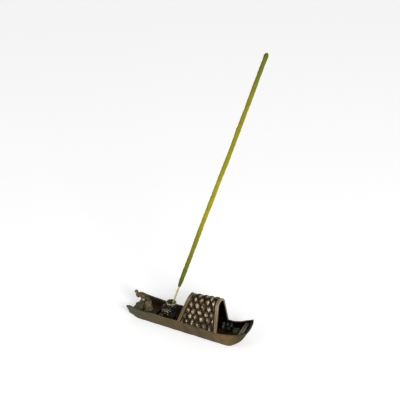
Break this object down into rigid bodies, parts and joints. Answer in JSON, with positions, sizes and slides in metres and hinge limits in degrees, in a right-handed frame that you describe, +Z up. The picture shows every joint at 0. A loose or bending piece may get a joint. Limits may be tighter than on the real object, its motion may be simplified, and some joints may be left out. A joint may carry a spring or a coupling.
{
  "type": "incense burner",
  "caption": "Cast bronze sampan with an awning, a bent boatman and a basket with a cup that holds one leaning stick of incense.",
  "frame": {"origin": "flat underside of the hull, on its centreline, 47.3 mm forward of the stern tips", "axes": "+X towards the bow, +Y towards the far side, +Z up along the tall stick"},
  "size_m": [0.1047, 0.02, 0.2379],
  "materials": {
    "hull_bronze": "antique bronze patina, rubbed edges",
    "dark_bronze": "dark patina",
    "figure_bronze": "antique bronze patina, rubbed high spots",
    "net_bronze": "dark patina with rubbed knots",
    "wicker_bronze": "rubbed high spots over black recesses",
    "hoop_bronze": "rubbed bronze",
    "cup_bronze": "rubbed bronze",
    "rope_bronze": "antique bronze patina",
    "bamboo": "bare split bamboo",
    "incense": "matt rolled incense powder",
    "screw_steel": "zinc plated"
  },
  "bodies": {
    "boat": {"hull": "hull_bronze", "stern_deck": "dark_bronze", "bow_floor": "dark_bronze", "bow_deck": "dark_bronze", "bow_beam_inner": "hull_bronze", "bow_beam_outer": "hull_bronze", "boatman": "figure_bronze", "cast_net": "net_bronze", "net_heap": "net_bronze", "creel": "wicker_bronze", "awning_shell": "wicker_bronze", "awning_hoop_stern": "hoop_bronze", "awning_hoop_bow": "hoop_bronze", "holder_cup": "cup_bronze", "rice_bowl": "cup_bronze", "jar_1": "cup_bronze", "jar_2": "cup_bronze", "jar_3": "cup_bronze", "jar_4": "cup_bronze", "crate": "dark_bronze", "mooring_line": "rope_bronze", "anchor_line": "rope_bronze", "awning_screw_near": "screw_steel", "awning_screw_far": "screw_steel", "creel_screw": "screw_steel", "boatman_screw": "screw_steel"},
    "incense": {"stick_core": "bamboo", "incense_paste": "incense"}
  },
  "joints": [
    {"name": "stick_pull", "type": "slide", "parent": "boat", "child": "incense", "axis": [0.3057, 0, 0.9521], "range_m": [0, 0.03]}
  ]
}
